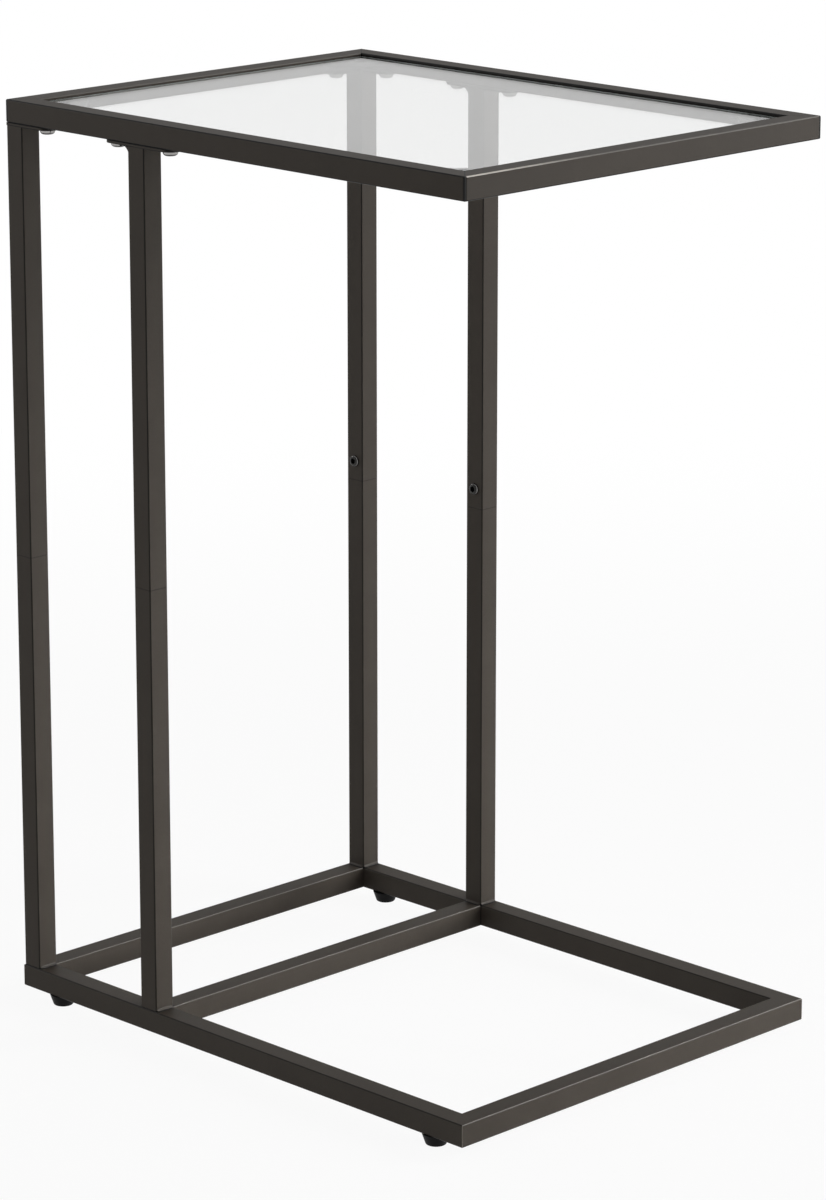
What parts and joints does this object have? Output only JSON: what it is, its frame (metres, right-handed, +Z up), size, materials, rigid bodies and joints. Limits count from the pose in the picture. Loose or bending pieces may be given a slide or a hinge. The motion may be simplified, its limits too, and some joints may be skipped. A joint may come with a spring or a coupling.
{
  "type": "c shaped side table",
  "caption": "C-shaped side table in dark square steel tube: legs at one end carry a clear inset glass top over a rectangular base with levelling feet.",
  "frame": {"origin": "on the floor, under the middle of the table", "axes": "+X from the legs towards the open end, +Y from the front side to the rear side, +Z up"},
  "size_m": [0.4412, 0.343, 0.65],
  "materials": {
    "frame_coat": "satin dark bronze powder coat",
    "glass": "clear tempered glass with polished edges",
    "clear_pad": "clear soft plastic",
    "black_plastic": "fine-grained black plastic",
    "black_screw": "black oxide",
    "zinc_steel": "zinc plated"
  },
  "bodies": {
    "table": {"top_rail_front": "frame_coat", "base_rail_front": "frame_coat", "top_rail_rear": "frame_coat", "base_rail_rear": "frame_coat", "top_rail_leg_end": "frame_coat", "base_rail_leg_end": "frame_coat", "top_rail_open_end": "frame_coat", "base_rail_open_end": "frame_coat", "base_cross_rail": "frame_coat", "corner_front_leg_lower": "frame_coat", "corner_front_leg_upper": "frame_coat", "corner_front_sleeve": "zinc_steel", "corner_rear_leg_lower": "frame_coat", "corner_rear_leg_upper": "frame_coat", "corner_rear_sleeve": "zinc_steel", "mid_front_leg_lower": "frame_coat", "mid_front_leg_upper": "frame_coat", "mid_front_sleeve": "zinc_steel", "mid_rear_leg_lower": "frame_coat", "mid_rear_leg_upper": "frame_coat", "mid_rear_sleeve": "zinc_steel", "corner_leg_plates": "frame_coat", "mid_leg_plates": "frame_coat", "leg_foot_welds": "frame_coat", "leg_plate_welds": "frame_coat", "plate_screws": "black_screw", "leg_screws": "black_screw", "top_rail_nuts": "zinc_steel", "base_rail_nuts": "zinc_steel", "leg_nuts": "zinc_steel", "glass_top": "glass", "glass_pads": "clear_pad", "glass_tab_front_leg_end": "frame_coat", "glass_tab_rear_leg_end": "frame_coat", "glass_tab_front_open_end": "frame_coat", "glass_tab_rear_open_end": "frame_coat"},
    "front_leg_end_foot": {"foot_front_leg_end": "black_plastic", "foot_bolt_front_leg_end": "zinc_steel"},
    "rear_leg_end_foot": {"foot_rear_leg_end": "black_plastic", "foot_bolt_rear_leg_end": "zinc_steel"},
    "front_open_end_foot": {"foot_front_open_end": "black_plastic", "foot_bolt_front_open_end": "zinc_steel"},
    "rear_open_end_foot": {"foot_rear_open_end": "black_plastic", "foot_bolt_rear_open_end": "zinc_steel"}
  },
  "joints": [
    {"name": "front_leg_end_foot_levelling", "type": "slide", "parent": "table", "child": "front_leg_end_foot", "axis": [0, 0, -1], "range_m": [0, 0.005]},
    {"name": "rear_leg_end_foot_levelling", "type": "slide", "parent": "table", "child": "rear_leg_end_foot", "axis": [0, 0, -1], "range_m": [0, 0.005]},
    {"name": "front_open_end_foot_levelling", "type": "slide", "parent": "table", "child": "front_open_end_foot", "axis": [0, 0, -1], "range_m": [0, 0.005]},
    {"name": "rear_open_end_foot_levelling", "type": "slide", "parent": "table", "child": "rear_open_end_foot", "axis": [0, 0, -1], "range_m": [0, 0.005]}
  ]
}
